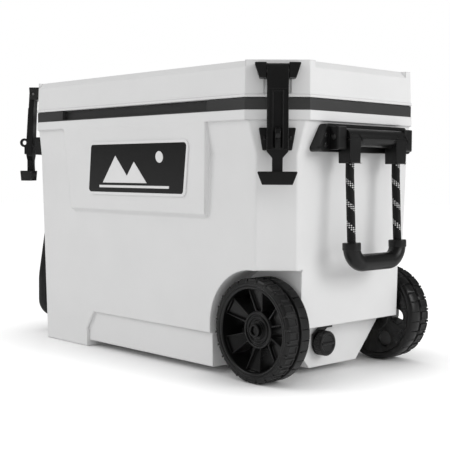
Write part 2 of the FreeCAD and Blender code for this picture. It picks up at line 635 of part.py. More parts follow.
def bracket_piece():
    top = "(body_height - bracket_drop)"
    outline = [("-bracket_half - 8", f"{top} - bracket_height"), ("bracket_half + 8", f"{top} - bracket_height"),
               ("bracket_half - 8", top), ("-bracket_half + 8", top)]
    face = plate("YZ_Plane", outline, "slant_inset + bracket_face", "body_length / 2 - slant_inset",
                 round_off="6")
    ears = []
    for flank in FLANKS.values():
        start = f"{BAR_HALF} + 1" if flank > 0 else f"-({BAR_HALF} + 1 + ear_width)"
        ears.append(box(("body_length / 2 - 1", f"{BAR_X} + 9"), (start, f"{start} + ear_width"),
                        (f"{BAR_Z} - 18", f"{BAR_Z} + 15")))
    clear = rod("y", "bar_radius + 1", (BAR_X, f"-({BAR_HALF} + 1)", BAR_Z), f"2 * ({BAR_HALF} + 1)")
    drop = box((f"{BAR_X} - bar_radius - 1", f"{BAR_X} + 40"), (f"-({BAR_HALF} + 1)", f"{BAR_HALF} + 1"),
               ("0", BAR_Z))
    hole = rod("y", "rod_radius", (BAR_X, "-bracket_half", BAR_Z), "2 * bracket_half")
    return cut(fuse(face, *ears), clear, drop, hole, tub_outside())


def yoke_piece():
    bar = rod("y", "bar_radius", (BAR_X, f"-{BAR_HALF}", BAR_Z), f"2 * {BAR_HALF}")
    sockets = []
    for flank in FLANKS.values():
        outline = [(f"{flank} * socket_y - socket_width / 2", BAR_Z),
                   (f"{flank} * socket_y - socket_width / 2 + 1.5", f"{BAR_Z} - socket_length"),
                   (f"{flank} * socket_y + socket_width / 2 - 1.5", f"{BAR_Z} - socket_length"),
                   (f"{flank} * socket_y + socket_width / 2", BAR_Z)]
        sockets.append(plate("YZ_Plane", outline, "22", f"{BAR_X} - 9", round_off="1"))
    holes = [rod("z", "rope_radius", (f"{BAR_X} + 3", f"{flank} * socket_y", f"{BAR_Z} - socket_length - 1"),
                 "rope_hold + 1") for flank in FLANKS.values()]
    rod_hole = rod("y", "rod_radius + pin_fit", (BAR_X, "-body_width", BAR_Z), "2 * body_width")
    return cut(fuse(bar, *sockets), *holes, rod_hole)


def bent_path(points, bends):
    """Straight runs joined by tangent arcs; each inner point has its own arc radius."""
    edges = []
    start = points[0]
    for before, corner, after, radius in zip(points, points[1:], points[2:], bends):
        back, ahead = (before - corner).normalize(), (after - corner).normalize()
        half = back.getAngle(ahead) / 2
        reach = radius / math.tan(half)
        middle = (back + ahead).normalize()
        centre = corner + middle * (radius / math.sin(half))
        first, last = corner + back * reach, corner + ahead * reach
        edges.append(Part.LineSegment(start, first).toShape())
        edges.append(Part.Arc(first, centre - middle * radius, last).toShape())
        start = last
    edges.append(Part.LineSegment(start, points[-1]).toShape())
    return Part.Wire(edges)


def tube_along(path, radius):
    """A round section swept along a path."""
    first = path.OrderedEdges[0]
    direction = first.tangentAt(first.FirstParameter)
    start = first.valueAt(first.FirstParameter)
    ring = Part.Wire(Part.makeCircle(radius, start, direction))
    return path.makePipeShell([ring], True, False)


def feature(name, shape):
    """A sub-part whose shape comes straight from Part's own functions."""
    piece = doc.addObject("Part::Feature", name)
    piece.Shape = shape
    return keep(name, piece)


def rope_path(side):
    bar_x = side * (number("body_length") / 2 + number("bar_out") + 3)
    top = number("body_height") - number("bar_drop") - number("socket_length") + number("rope_hold")
    low = top - number("rope_length")
    reach = number("socket_y")
    lean = side * number("rope_lean")
    near = [FreeCAD.Vector(bar_x, -reach, top), FreeCAD.Vector(bar_x, -reach, top - 40),
            FreeCAD.Vector(bar_x + lean, -reach, low)]
    far = [FreeCAD.Vector(point.x, reach, point.z) for point in reversed(near)]
    return near + far


def build_handle(name, side):
    bracket, yoke = bracket_piece(), yoke_piece()
    hinge_rod = rod("y", "rod_radius", (BAR_X, "-bracket_half + 14", BAR_Z), "2 * bracket_half - 28")
    if side < 0:
        bracket, yoke, hinge_rod = mirror_x(bracket), mirror_x(yoke), mirror_x(hinge_rod)
    keep(f"handle_{name}_bracket", bracket)
    keep(f"handle_{name}_yoke", yoke)
    keep(f"handle_{name}_rod", hinge_rod)
    points = rope_path(side)
    bends = [120, number("grip_bend"), number("grip_bend"), 120]
    rope = bent_path(points, bends)
    feature(f"handle_{name}_rope", tube_along(rope, number("rope_radius")))
    legs = number("grip_length")
    lift = (points[1] - points[2]).normalize() * legs
    grip_points = [points[2] + lift, points[2], points[3], points[3] + FreeCAD.Vector(lift.x, 0, lift.z)]
    grip = bent_path(grip_points, [number("grip_bend")] * 2)
    outside = tube_along(grip, number("grip_radius"))
    inside = tube_along(grip, number("rope_radius") + number("grip_wall"))
    feature(f"handle_{name}_grip", outside.cut(inside))


# ---------------------------------------------------------------- tow handle
def build_tow():
    out = -(number("body_length") / 2 + number("tow_out"))
    top = number("body_height") - number("tow_drop")
    low = number("tow_floor")
    half, wide = number("tow_half"), number("tow_half") + number("tow_flare")
    near = [FreeCAD.Vector(out, -half, top), FreeCAD.Vector(out, -half, top - 45),
            FreeCAD.Vector(out, -wide, low + 70), FreeCAD.Vector(out, -wide, low)]
    points = near + [FreeCAD.Vector(out, -point.y, point.z) for point in reversed(near)]
    bend = number("tow_bend")
    frame = tube_along(bent_path(points, [150, 150, bend, bend, 150, 150]), number("tow_radius"))
    eyes = [Part.makeCylinder(number("tow_radius") + 3, 18, FreeCAD.Vector(out, flank * half - 9, top),
                              FreeCAD.Vector(0, 1, 0)) for flank in FLANKS.values()]
    bore = Part.makeCylinder(number("rod_radius") + number("pin_fit"), 4 * wide,
                             FreeCAD.Vector(out, -2 * wide, top), FreeCAD.Vector(0, 1, 0))
    feature("tow_frame", frame.fuse(eyes).cut(bore).removeSplitter())
    reach = number("tow_grip_half")
    start = FreeCAD.Vector(out, -reach, low)
    along = FreeCAD.Vector(0, 1, 0)
    sleeve = Part.makeCylinder(number("tow_grip_radius"), 2 * reach, start, along)
    sleeve = sleeve.makeFillet(6, sleeve.Edges[0:1] + sleeve.Edges[2:3])
    feature("tow_grip", sleeve.cut(Part.makeCylinder(number("tow_radius"), 2 * reach, start, along)))
    tow_x, tow_z = "-(body_length / 2 + tow_out)", "(body_height - tow_drop)"
    forks = []
    pins = []
    for flank in FLANKS.values():
        middle = f"{flank} * tow_half"
        block = box((f"{tow_x} - 13", "-(body_length / 2 - slant_inset - 8)"),
                    (f"{middle} - 15", f"{middle} + 15"), (f"{tow_z} - 14", f"{tow_z} + 14"))
        slot = box((f"{tow_x} - 40", f"{tow_x} + 13"), (f"{middle} - 9.6", f"{middle} + 9.6"),
                   (f"{tow_z} - 40", f"{tow_z} + 40"))
        hole = rod("y", "rod_radius", (tow_x, f"{middle} - 30", tow_z), "60")
        forks.append(cut(block, slot, hole, tub_outside()))
        pins.append(rod("y", "rod_radius", (tow_x, f"{middle} - 15", tow_z), "30"))
    keep("tow_brackets", group(*forks))
    keep("tow_pins", group(*pins))


# ---------------------------------------------------------------- hinges
HINGE_Y = "(body_width / 2 + hinge_out)"
HINGE_Z = f"({BAND_TOP} + lid_gap / 2)"


def hinge_leaf(centre, low, high, knuckles):
    """A leaf with its knuckles and the tabs that carry them."""
    leaf = box((f"{centre} - hinge_half", f"{centre} + hinge_half"),
               ("body_width / 2 - slant_inset", "body_width / 2 + leaf_wall"), (low, high))
    pieces = [leaf]
    for start, stop in knuckles:
        pieces.append(rod("x", "knuckle_radius", (f"{centre} + ({start})", HINGE_Y, HINGE_Z),
                          f"{stop} - ({start})"))
        pieces.append(tab(centre, start, stop, low, high))
    return fuse(*pieces)


def tab(centre, start, stop, low, high):
    """The web from a leaf to a knuckle, kept on the leaf's own side of the joint line."""
    on_lid = LID_LOW in low
    level = (f"{HINGE_Z} + lid_gap / 2 + 1", low) if on_lid else (high, f"{HINGE_Z} - lid_gap / 2 - 1")
    return box((f"{centre} + ({start})", f"{centre} + ({stop})"),
               ("body_width / 2 + 0.5", "body_width / 2 + leaf_wall"), level)


def build_hinge(name, side):
    centre = f"{side} * hinge_x"
    bore = rod("x", "hinge_pin", (f"{centre} - hinge_half - 1", HINGE_Y, HINGE_Z), "2 * hinge_half + 2")
    loose = rod("x", "hinge_pin + pin_fit", (f"{centre} - hinge_half - 1", HINGE_Y, HINGE_Z),
                "2 * hinge_half + 2")
    top = f"({HINGE_Z} - knuckle_radius - 2)"
    tub_knuckles = (("-hinge_half", "-knuckle_half - 0.5"), ("knuckle_half + 0.5", "hinge_half"))
    tub_leaf = hinge_leaf(centre, f"{top} - leaf_height", top, tub_knuckles)
    band = frustum(("body_height", "band_inset", corner_inside("corner_cut", "band_inset")),
                   (BAND_TOP, "band_inset", corner_inside("corner_cut", "band_inset")))
    keep(f"hinge_{name}_tub_leaf", cut(tub_leaf, bore, tub_outside(), band))
    low = f"({LID_LOW} + knuckle_radius + 2)"
    lid_leaf = hinge_leaf(centre, low, f"({LID_TOP} - 10)", (("-knuckle_half", "knuckle_half"),))
    keep(f"hinge_{name}_lid_leaf", cut(lid_leaf, loose, lid_solid()))
    pin = rod("x", "hinge_pin", (f"{centre} - hinge_half", HINGE_Y, HINGE_Z), "2 * hinge_half")
    keep(f"hinge_{name}_pin", pin)


# ---------------------------------------------------------------- screws
def screw(axis, place):
    return rod(axis, "screw_radius", place, "screw_head")


def build_screws():
    tub_heads = []
    lid_heads = []
    for side in SIDES.values():
        for offset in (-18, 18):
            x = f"{side} * hinge_x + {offset}"
            face = "body_width / 2 + leaf_wall"
            tub_heads.append(screw("y", (x, face, f"{HINGE_Z} - leaf_height + 8")))
            lid_heads.append(screw("y", (x, face, f"{LID_TOP} - 20")))
    keep("hinge_tub_screws", group(*tub_heads))
    keep("hinge_lid_screws", group(*lid_heads))
    bracket_heads = []
    for side in SIDES.values():
        face = "body_length / 2 + bracket_face"
        start = face if side > 0 else f"-({face}) - screw_head"
        for flank in FLANKS.values():
            for up in (24, 10):
                place = (start, f"{flank} * (bracket_half - 5)",
                         f"body_height - bracket_drop - bracket_height + {up}")
                bracket_heads.append(screw("x", place))
    keep("handle_screws", group(*bracket_heads))


def build_all():
    build_tub()
    build_lid()
    build_badge()
    build_drain()
    build_axle()
    for name, flank in FLANKS.items():
        wheel_pair(name, flank)
    for name, side in SIDES.items():
        build_latch(name, side)
        build_handle(name, side)
        build_hinge(name, side)
    build_tow()
    build_screws()


def check_and_write():
    doc.recompute()
    for thing in doc.Objects:
        if "Invalid" in thing.State or "Error" in thing.State:
            raise RuntimeError(f"{thing.Name} ({thing.Label}) failed: {thing.State}")
    os.makedirs("parts", exist_ok=True)
    for name, piece in PARTS.items():
        shape = piece.Shape
        if shape.isNull() or not shape.isValid() or not shape.Solids:
            raise RuntimeError(f"{name} has no valid solid")
        shape.exportStep(f"parts/{name}.step")
        box_ = shape.BoundBox
        print(f"{name:24s} {len(shape.Solids):2d} solids {shape.Volume / 1000:9.1f} cm3"
              f"  X {box_.XMin:7.1f} {box_.XMax:7.1f}  Y {box_.YMin:7.1f} {box_.YMax:7.1f}"
              f"  Z {box_.ZMin:7.1f} {box_.ZMax:7.1f}")


build_all()
check_and_write()
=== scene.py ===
# %% [markdown]
# # A wheeled hard cooler
# The looks of a family cooler: a white moulded tub and lid with a dark band between them, rubber strap
# latches on the front corners, rope carry handles at the ends, a tow handle, a drain and two wheels.
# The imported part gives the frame, in metres, with the wheels at +X and the badge facing -Y.

# %% Load the frame
import json
import math

import bpy
from mathutils import Matrix, Vector

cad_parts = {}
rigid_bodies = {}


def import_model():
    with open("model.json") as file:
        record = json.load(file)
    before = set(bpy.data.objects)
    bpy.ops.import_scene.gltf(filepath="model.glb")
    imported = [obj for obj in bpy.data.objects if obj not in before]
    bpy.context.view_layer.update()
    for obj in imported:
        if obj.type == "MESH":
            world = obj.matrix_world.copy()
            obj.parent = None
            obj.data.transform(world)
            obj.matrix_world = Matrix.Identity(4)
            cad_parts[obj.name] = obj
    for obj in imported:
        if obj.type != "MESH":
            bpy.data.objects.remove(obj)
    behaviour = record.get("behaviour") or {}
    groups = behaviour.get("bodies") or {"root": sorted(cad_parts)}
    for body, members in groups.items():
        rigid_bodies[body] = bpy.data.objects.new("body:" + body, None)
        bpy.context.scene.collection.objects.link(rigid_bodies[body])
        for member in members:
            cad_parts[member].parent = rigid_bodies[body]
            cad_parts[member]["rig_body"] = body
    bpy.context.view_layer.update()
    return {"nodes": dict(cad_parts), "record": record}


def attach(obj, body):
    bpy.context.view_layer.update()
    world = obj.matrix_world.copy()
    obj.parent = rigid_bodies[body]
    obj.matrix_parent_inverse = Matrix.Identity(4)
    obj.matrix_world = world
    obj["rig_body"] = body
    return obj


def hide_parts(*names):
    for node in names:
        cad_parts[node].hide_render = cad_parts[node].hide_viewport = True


MM = 0.001

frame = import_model()
slots = {row["node"]: row["material_slot"] for row in frame["record"]["subparts"]}

# %% [markdown]
# ## Modelling helpers
# Every piece keeps its object at the origin with its place in its mesh. Sizes are written in millimetres.

# %% Helpers
def alone(piece):
    """Make this the only selected object, and the active one."""
    bpy.ops.object.select_all(action="DESELECT")
    piece.select_set(True)
    bpy.context.view_layer.objects.active = piece


def settle(piece):
    """Put the object's place and turn into its mesh."""
    alone(piece)
    bpy.ops.object.transform_apply(location=True, rotation=True, scale=True)
    return piece


def added(name):
    """Name the primitive that was just added and settle it."""
    piece = bpy.context.active_object
    piece.name = name
    return settle(piece)


def block(name, low, high):
    """A cube between two corners, as a start for edit mode."""
    low, high = Vector(low) * MM, Vector(high) * MM
    bpy.ops.object.select_all(action="DESELECT")
    bpy.ops.mesh.primitive_cube_add(size=1, location=(low + high) / 2, scale=high - low)
    return added(name)


def edit(piece, kind="FACE", test=None):
    """Enter edit mode with faces or vertices chosen by place and normal, or with all of them."""
    alone(piece)
    mesh = piece.data
    for item in (*mesh.vertices, *mesh.edges, *mesh.polygons):
        item.select = False
    if kind == "FACE":
        for face in mesh.polygons:
            face.select = test is None or test(face.center / MM, face.normal)
    else:
        for point in mesh.vertices:
            point.select = test is None or test(point.co / MM, point.normal)
    bpy.context.tool_settings.mesh_select_mode = (kind == "VERT", False, kind == "FACE")
    bpy.ops.object.mode_set(mode="EDIT")


def leave():
    """Go back to object mode."""
    bpy.ops.object.mode_set(mode="OBJECT")


def tidy_mesh(piece):
    """Merge what touches and turn the faces outwards."""
    edit(piece)
    bpy.ops.mesh.remove_doubles(threshold=1e-6)
    bpy.ops.mesh.normals_make_consistent(inside=False)
    leave()
    return piece


def shift(piece, test, x, y, z):
    """Move the vertices that pass a test of their place and normal."""
    edit(piece, "VERT", test)
    bpy.ops.transform.translate(value=(x * MM, y * MM, z * MM))
    leave()


def push(distance, direction):
    """Extrude the chosen faces by a distance along a direction."""
    step = Vector(direction).normalized() * distance * MM
    bpy.ops.mesh.extrude_region_move(TRANSFORM_OT_translate={"value": step})


def lathe(name, outline, axis="Y", steps=96):
    """Draw a closed outline of (along, radius) points by extruding one vertex, and spin it about an axis."""
    ways = {
        "X": (Vector((1, 0, 0)), Vector((0, 0, 1))),
        "Y": (Vector((0, 1, 0)), Vector((0, 0, 1))),
        "Z": (Vector((0, 0, 1)), Vector((1, 0, 0))),
    }
    along, out = ways[axis]
    points = [(along * a + out * r) * MM for a, r in outline]
    bpy.ops.object.select_all(action="DESELECT")
    bpy.ops.mesh.primitive_plane_add(size=MM, location=points[0])
    piece = added(name)
    edit(piece, "VERT")
    bpy.ops.mesh.merge(type="CENTER")
    for before, after in zip(points, points[1:] + points[:1]):
        bpy.ops.mesh.extrude_vertices_move(TRANSFORM_OT_translate={"value": after - before})
    bpy.ops.mesh.select_all(action="SELECT")
    bpy.ops.mesh.spin(steps=steps, angle=math.tau, center=(0, 0, 0), axis=along)
    leave()
    return tidy_mesh(piece)


def around(piece, count, axis=(0, 1, 0)):
    """Copy a piece evenly about an axis through the origin."""
    edit(piece)
    bpy.ops.mesh.spin(steps=count - 1, dupli=True, angle=math.tau * (count - 1) / count,
                      center=(0, 0, 0), axis=axis)
    leave()
    return piece


def joined(name, *pieces):
    """Join pieces into the first one."""
    bpy.ops.object.select_all(action="DESELECT")
    for piece in pieces:
        piece.select_set(True)
    bpy.context.view_layer.objects.active = pieces[0]
    bpy.ops.object.join()
    pieces[0].name = name
    return pieces[0]


def copy_of(piece, name):
    """A copy with its own mesh."""
    alone(piece)
    bpy.ops.object.duplicate(linked=False)
    twin = bpy.context.active_object
    twin.name = name
    return twin


def put(piece, place, turn=(0, 0, 0), mirror=None):
    """Place a piece that was modelled about the origin; a mirror axis turns it over first."""
    if mirror is not None:
        piece.scale[mirror] = -1
        settle(piece)
        tidy_mesh(piece)
    piece.rotation_euler = [math.radians(angle) for angle in turn]
    piece.location = Vector(place) * MM
    return settle(piece)


def carve(piece, tool):
    """Cut a tool's shape out of a piece."""
    modifier = piece.modifiers.new("Carve", "BOOLEAN")
    modifier.operation = "DIFFERENCE"
    modifier.solver = "EXACT"
    modifier.object = tool
    alone(piece)
    bpy.ops.object.modifier_apply(modifier=modifier.name)
    bpy.data.objects.remove(tool)
    return piece


def round_edges(piece, width, test):
    """Bevel the sharp edges that pass a test of their middle and length."""
    edit(piece)
    bpy.context.tool_settings.mesh_select_mode = (False, True, False)
    bpy.ops.mesh.select_all(action="DESELECT")
    bpy.ops.mesh.edges_select_sharp(sharpness=math.radians(30))
    leave()
    mesh = piece.data
    for edge in mesh.edges:
        if edge.select:
            start, end = (mesh.vertices[index].co / MM for index in edge.vertices)
            edge.select = test((start + end) / 2, (end - start).length)
    for point in mesh.vertices:
        point.select = False
    for face in mesh.polygons:
        face.select = False
    bpy.ops.object.mode_set(mode="EDIT")
    bpy.ops.mesh.bevel(offset=width * MM, segments=3, affect="EDGES", clamp_overlap=False,
                       loop_slide=False)
    leave()


def soften(piece, width):
    """Round every sharp edge by a small width and shade the piece smooth."""
    alone(piece)
    bevel = piece.modifiers.new("Edges", "BEVEL")
    bevel.width = width * MM
    bevel.segments = 2
    bevel.limit_method = "ANGLE"
    bevel.angle_limit = math.radians(32)
    bevel.use_clamp_overlap = False
    bevel.loop_slide = False
    bpy.ops.object.modifier_apply(modifier=bevel.name)
    bpy.ops.object.shade_smooth_by_angle(angle=math.radians(40))
    weighted = piece.modifiers.new("Normals", "WEIGHTED_NORMAL")
    weighted.keep_sharp = True
    bpy.ops.object.modifier_apply(modifier=weighted.name)
    return piece


def finish(piece, body, slot, *nodes):
    """Give a piece its material, its body, and the nodes that it stands for."""
    piece.data.materials.clear()
    piece.data.materials.append(materials[slot])
    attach(piece, body)
    if nodes:
        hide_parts(*nodes)
    return piece

# %% [markdown]
# ## Materials
# Shared effects are node groups: a moulded grain that gives a normal, a mottling that varies the colour,
# and a painted edge highlight that lightens raised edges.

# %% Node groups
MID_GREY = (0.5, 0.5, 0.5, 1)


def node_group(name, inputs, outputs):
    """A new node group with its sockets, and its two end nodes."""
    tree = bpy.data.node_groups.new(name, "ShaderNodeTree")
    for title, kind, value in inputs:
        socket = tree.interface.new_socket(name=title, in_out="INPUT", socket_type=kind)
        socket.default_value = value
    for title, kind in outputs:
        tree.interface.new_socket(name=title, in_out="OUTPUT", socket_type=kind)
    return tree, tree.nodes.new("NodeGroupInput"), tree.nodes.new("NodeGroupOutput")


def add_node(tree, kind, inputs=None, **settings):
    """A node with its settings; inputs are values, or sockets to link."""
    node = tree.nodes.new(kind)
    for key, value in settings.items():
        setattr(node, key, value)
    for key, value in (inputs or {}).items():
        if isinstance(value, bpy.types.NodeSocket):
            tree.links.new(value, node.inputs[key])
        else:
            node.inputs[key].default_value = value
    return node


def grain_group():
    """Fine moulded texture with slow waves under it."""
    tree, entry, result = node_group(
        "Moulded grain",
        [("Scale", "NodeSocketFloat", 900.0), ("Depth", "NodeSocketFloat", 0.3),
         ("Waves", "NodeSocketFloat", 0.1), ("Rounding", "NodeSocketFloat", 0.0006)],
        [("Normal", "NodeSocketVector")])
    place = add_node(tree, "ShaderNodeTexCoord")
    rounded = add_node(tree, "ShaderNodeBevel", {"Radius": entry.outputs["Rounding"]}, samples=6)
    fine = add_node(tree, "ShaderNodeTexNoise", {
        "Vector": place.outputs["Object"], "Scale": entry.outputs["Scale"], "Detail": 3.0, "Roughness": 0.6})
    first = add_node(tree, "ShaderNodeBump", {
        "Height": fine.outputs["Fac"], "Strength": entry.outputs["Depth"], "Distance": 0.0004,
        "Normal": rounded.outputs["Normal"]})
    slow = add_node(tree, "ShaderNodeTexNoise", {
        "Vector": place.outputs["Object"], "Scale": 22.0, "Detail": 1.5})
    second = add_node(tree, "ShaderNodeBump", {
        "Height": slow.outputs["Fac"], "Strength": entry.outputs["Waves"], "Distance": 0.002,
        "Normal": first.outputs["Normal"]})
    tree.links.new(second.outputs["Normal"], result.inputs["Normal"])
    return tree


def mottle_group():
    """Slight clouds in the colour and the shine."""
    tree, entry, result = node_group(
        "Mottling",
        [("Colour", "NodeSocketColor", MID_GREY), ("Scale", "NodeSocketFloat", 14.0),
         ("Amount", "NodeSocketFloat", 0.1), ("Roughness", "NodeSocketFloat", 0.5)],
        [("Colour", "NodeSocketColor"), ("Roughness", "NodeSocketFloat")])
    place = add_node(tree, "ShaderNodeTexCoord")
    clouds = add_node(tree, "ShaderNodeTexNoise", {
        "Vector": place.outputs["Object"], "Scale": entry.outputs["Scale"], "Detail": 5.0})
    spread = add_node(tree, "ShaderNodeMapRange", {
        "Value": clouds.outputs["Fac"], "From Min": 0.3, "From Max": 0.7, "To Min": -1.0, "To Max": 1.0})
    change = add_node(tree, "ShaderNodeMath", {0: spread.outputs["Result"], 1: entry.outputs["Amount"]},
                      operation="MULTIPLY")
    level = add_node(tree, "ShaderNodeMath", {0: change.outputs[0], 1: 1.0}, operation="ADD")
    tint = add_node(tree, "ShaderNodeVectorMath", {0: entry.outputs["Colour"]}, operation="SCALE")
    tree.links.new(level.outputs[0], tint.inputs["Scale"])
    rough = add_node(tree, "ShaderNodeMath", {0: level.outputs[0], 1: entry.outputs["Roughness"]},
                     operation="MULTIPLY", use_clamp=True)
    tree.links.new(tint.outputs["Vector"], result.inputs["Colour"])
    tree.links.new(rough.outputs[0], result.inputs["Roughness"])
    return tree


def edge_highlight_group():
    """Raised edges come out lighter, in broken patches: a painted edge highlight."""
    tree, entry, result = node_group(
        "Painted edge highlight",
        [("Colour", "NodeSocketColor", MID_GREY), ("Worn", "NodeSocketColor", MID_GREY),
         ("Amount", "NodeSocketFloat", 0.3)],
        [("Colour", "NodeSocketColor")])
    shape = add_node(tree, "ShaderNodeNewGeometry")
    edge = add_node(tree, "ShaderNodeMapRange", {
        "Value": shape.outputs["Pointiness"], "From Min": 0.52, "From Max": 0.62})
    place = add_node(tree, "ShaderNodeTexCoord")
    patches = add_node(tree, "ShaderNodeTexNoise", {"Vector": place.outputs["Object"], "Scale": 160.0})
    painted_highlight = add_node(tree, "ShaderNodeMath", {0: edge.outputs["Result"], 1: patches.outputs["Fac"]},
                    operation="MULTIPLY")
    share = add_node(tree, "ShaderNodeMath", {0: painted_highlight.outputs[0], 1: entry.outputs["Amount"]},
                     operation="MULTIPLY", use_clamp=True)
    mix = add_node(tree, "ShaderNodeMix", data_type="RGBA")
    tree.links.new(share.outputs[0], mix.inputs[0])
    tree.links.new(entry.outputs["Colour"], mix.inputs[6])
    tree.links.new(entry.outputs["Worn"], mix.inputs[7])
    tree.links.new(mix.outputs[2], result.inputs["Colour"])
    return tree


grain_nodes, mottle_nodes, edge_highlight_nodes = grain_group(), mottle_group(), edge_highlight_group()


def group_node(tree, group, **inputs):
    """A shared effect in a material."""
    return add_node(tree, "ShaderNodeGroup", inputs, node_tree=group)

# %% Materials
def rgb(level, tint=0.0):
    """A near-neutral colour; the tint warms it."""
    return (level * (1 + tint), level, level * (1 - tint), 1)


def moulded(name, colour, roughness, scale=900.0, depth=0.3, waves=0.05, mottle=0.05, painted_highlight=0.0,
            metallic=0.0, specular=0.5, rounding=0.7):
    """A finish from the three shared effects; the rounding of its edges is in millimetres."""
    material = bpy.data.materials.new(name)
    material.use_nodes = True
    tree = material.node_tree
    surface = tree.nodes["Principled BSDF"]
    clouds = group_node(tree, mottle_nodes, Colour=colour, Amount=mottle, Roughness=roughness)
    # Raised edges are lightened here as a painted edge highlight.
    highlighted = group_node(tree, edge_highlight_nodes, Colour=clouds.outputs["Colour"], Amount=painted_highlight,
                        Worn=tuple(min(1.0, part * 2.5 + 0.06) for part in colour[:3]) + (1,))
    grain = group_node(tree, grain_nodes, Scale=scale, Depth=depth, Waves=waves, Rounding=rounding * MM)
    tree.links.new(highlighted.outputs["Colour"], surface.inputs["Base Color"])
    tree.links.new(clouds.outputs["Roughness"], surface.inputs["Roughness"])
    tree.links.new(grain.outputs["Normal"], surface.inputs["Normal"])
    surface.inputs["Metallic"].default_value = metallic
    surface.inputs["Specular IOR Level"].default_value = specular
    material.diffuse_color = colour
    return material


# The lighter raised edges set for the dark finishes below are a painted edge highlight.
materials = {
    "white_shell": moulded(
        "Moulded white", rgb(0.80), roughness=0.45, scale=700, depth=0.14, waves=0.08, mottle=0.015,
        specular=0.35, rounding=2.6),
    "white_liner": moulded(
        "Smooth white", rgb(0.78), roughness=0.35, scale=500, depth=0.05, waves=0.12, mottle=0.02,
        specular=0.35, rounding=2.0),
    "foam": moulded(
        "Insulation", rgb(0.72, 0.05), roughness=0.9, scale=300, depth=0.8, waves=0.2, mottle=0.08),
    "grey_band": moulded(
        "Dark grey band", rgb(0.036), roughness=0.38, scale=1100, depth=0.12, mottle=0.06, painted_highlight=0.2),
    "badge_white": moulded(
        "Badge white", rgb(0.82), roughness=0.35, scale=1400, depth=0.05, waves=0.02, mottle=0.02,
        specular=0.3),
    "badge_black": moulded(
        "Badge black", rgb(0.004), roughness=0.20, scale=1400, depth=0.05, waves=0.02, mottle=0.10,
        specular=0.3),
    "seal_rubber": moulded(
        "Seal rubber", rgb(0.020), roughness=0.7, scale=800, depth=0.25, waves=0.1, mottle=0.12,
        specular=0.3),
    "strap_rubber": moulded(
        "Strap rubber", rgb(0.004), roughness=0.36, scale=1200, depth=0.18, waves=0.06, mottle=0.15,
        painted_highlight=0.5, specular=0.35, rounding=0.8),
    "steel": moulded(
        "Plain steel", rgb(0.45), roughness=0.32, scale=1600, depth=0.12, waves=0.03, mottle=0.10,
        metallic=1.0),
    "screw_black": moulded(
        "Black screws", rgb(0.03), roughness=0.32, scale=1600, depth=0.15, waves=0.03, mottle=0.15,
        painted_highlight=0.5, metallic=0.9),
    "tyre_black": moulded(
        "Tyre", rgb(0.005), roughness=0.42, waves=0.10, mottle=0.22, painted_highlight=0.35, specular=0.4,
        rounding=0.8),
    "wheel_black": moulded(
        "Wheel plastic", rgb(0.004), roughness=0.30, scale=1000, depth=0.20, waves=0.08, mottle=0.15,
        painted_highlight=0.4, specular=0.4, rounding=1.0),
    "grip_black": moulded(
        "Soft grip", rgb(0.005), roughness=0.38, waves=0.08, mottle=0.15, painted_highlight=0.3, specular=0.35,
        rounding=1.0),
    "frame_black": moulded(
        "Powder coat", rgb(0.010), roughness=0.36, scale=1500, mottle=0.1, painted_highlight=0.4, specular=0.4),
    "black_plastic": moulded(
        "Textured black", rgb(0.004), roughness=0.34, scale=1100, depth=0.22, waves=0.08, mottle=0.15,
        painted_highlight=0.4, specular=0.35, rounding=1.0),
}


def rope_material():
    """A black braid with a helical band of white flecks, laid out over the sleeve's UV map."""
    material = bpy.data.materials.new("Braided rope")
    material.use_nodes = True
    tree = material.node_tree
    surface = tree.nodes["Principled BSDF"]
    uv = add_node(tree, "ShaderNodeUVMap", uv_map="Along")
    parts = add_node(tree, "ShaderNodeSeparateXYZ", {"Vector": uv.outputs["UV"]})

    def maths(operation, a, b=0.0):
        return add_node(tree, "ShaderNodeMath", {0: a, 1: b}, operation=operation).outputs[0]

    turns, length = parts.outputs["X"], parts.outputs["Y"]
    strands, lay_length, band_pitch, band_share = 12.0, 0.036, 0.031, 0.26
    lay = strands / lay_length
    right = maths("ADD", maths("MULTIPLY", turns, strands), maths("MULTIPLY", length, lay))
    left = maths("SUBTRACT", maths("MULTIPLY", turns, strands), maths("MULTIPLY", length, lay))
    right_wave = maths("ABSOLUTE", maths("SINE", maths("MULTIPLY", right, math.pi)))
    left_wave = maths("ABSOLUTE", maths("SINE", maths("MULTIPLY", left, math.pi)))
    ridge = maths("MULTIPLY", right_wave, left_wave)
    band = maths("FRACT", maths("ADD", turns, maths("MULTIPLY", length, 1 / band_pitch)))
    in_band = maths("LESS_THAN", band, band_share)
    on_strand = maths("GREATER_THAN", ridge, 0.16)
    diamond = maths("ADD", maths("FLOOR", right), maths("FLOOR", left))
    every_other = maths("LESS_THAN", maths("FRACT", maths("MULTIPLY", diamond, 0.5)), 0.25)
    fleck = maths("MULTIPLY", maths("MULTIPLY", in_band, on_strand), every_other)
    shade = add_node(tree, "ShaderNodeMix", data_type="RGBA")
    tree.links.new(fleck, shade.inputs[0])
    shade.inputs[6].default_value = rgb(0.010)
    shade.inputs[7].default_value = rgb(0.80)
    bump = add_node(tree, "ShaderNodeBump", {"Height": ridge, "Strength": 0.9, "Distance": 0.0012})
    place = add_node(tree, "ShaderNodeTexCoord")
    fibres = add_node(tree, "ShaderNodeTexNoise", {
        "Vector": place.outputs["Object"], "Scale": 2500.0, "Detail": 2.0})
    fuzz = add_node(tree, "ShaderNodeBump", {
        "Height": fibres.outputs["Fac"], "Strength": 0.4, "Distance": 0.0003,
        "Normal": bump.outputs["Normal"]})
    tree.links.new(shade.outputs[2], surface.inputs["Base Color"])
    tree.links.new(fuzz.outputs["Normal"], surface.inputs["Normal"])
    surface.inputs["Roughness"].default_value = 0.72
    surface.inputs["Specular IOR Level"].default_value = 0.15
    surface.inputs["Sheen Weight"].default_value = 0.1
    return material


materials["rope"] = rope_material()

# %% [markdown]
# ## Rounded copies of the moulded pieces
# Each takes its shape from the frame: the mesh is merged, its flat faces are joined and cut into
# triangles, and its edges are rounded. The widths are in millimetres.

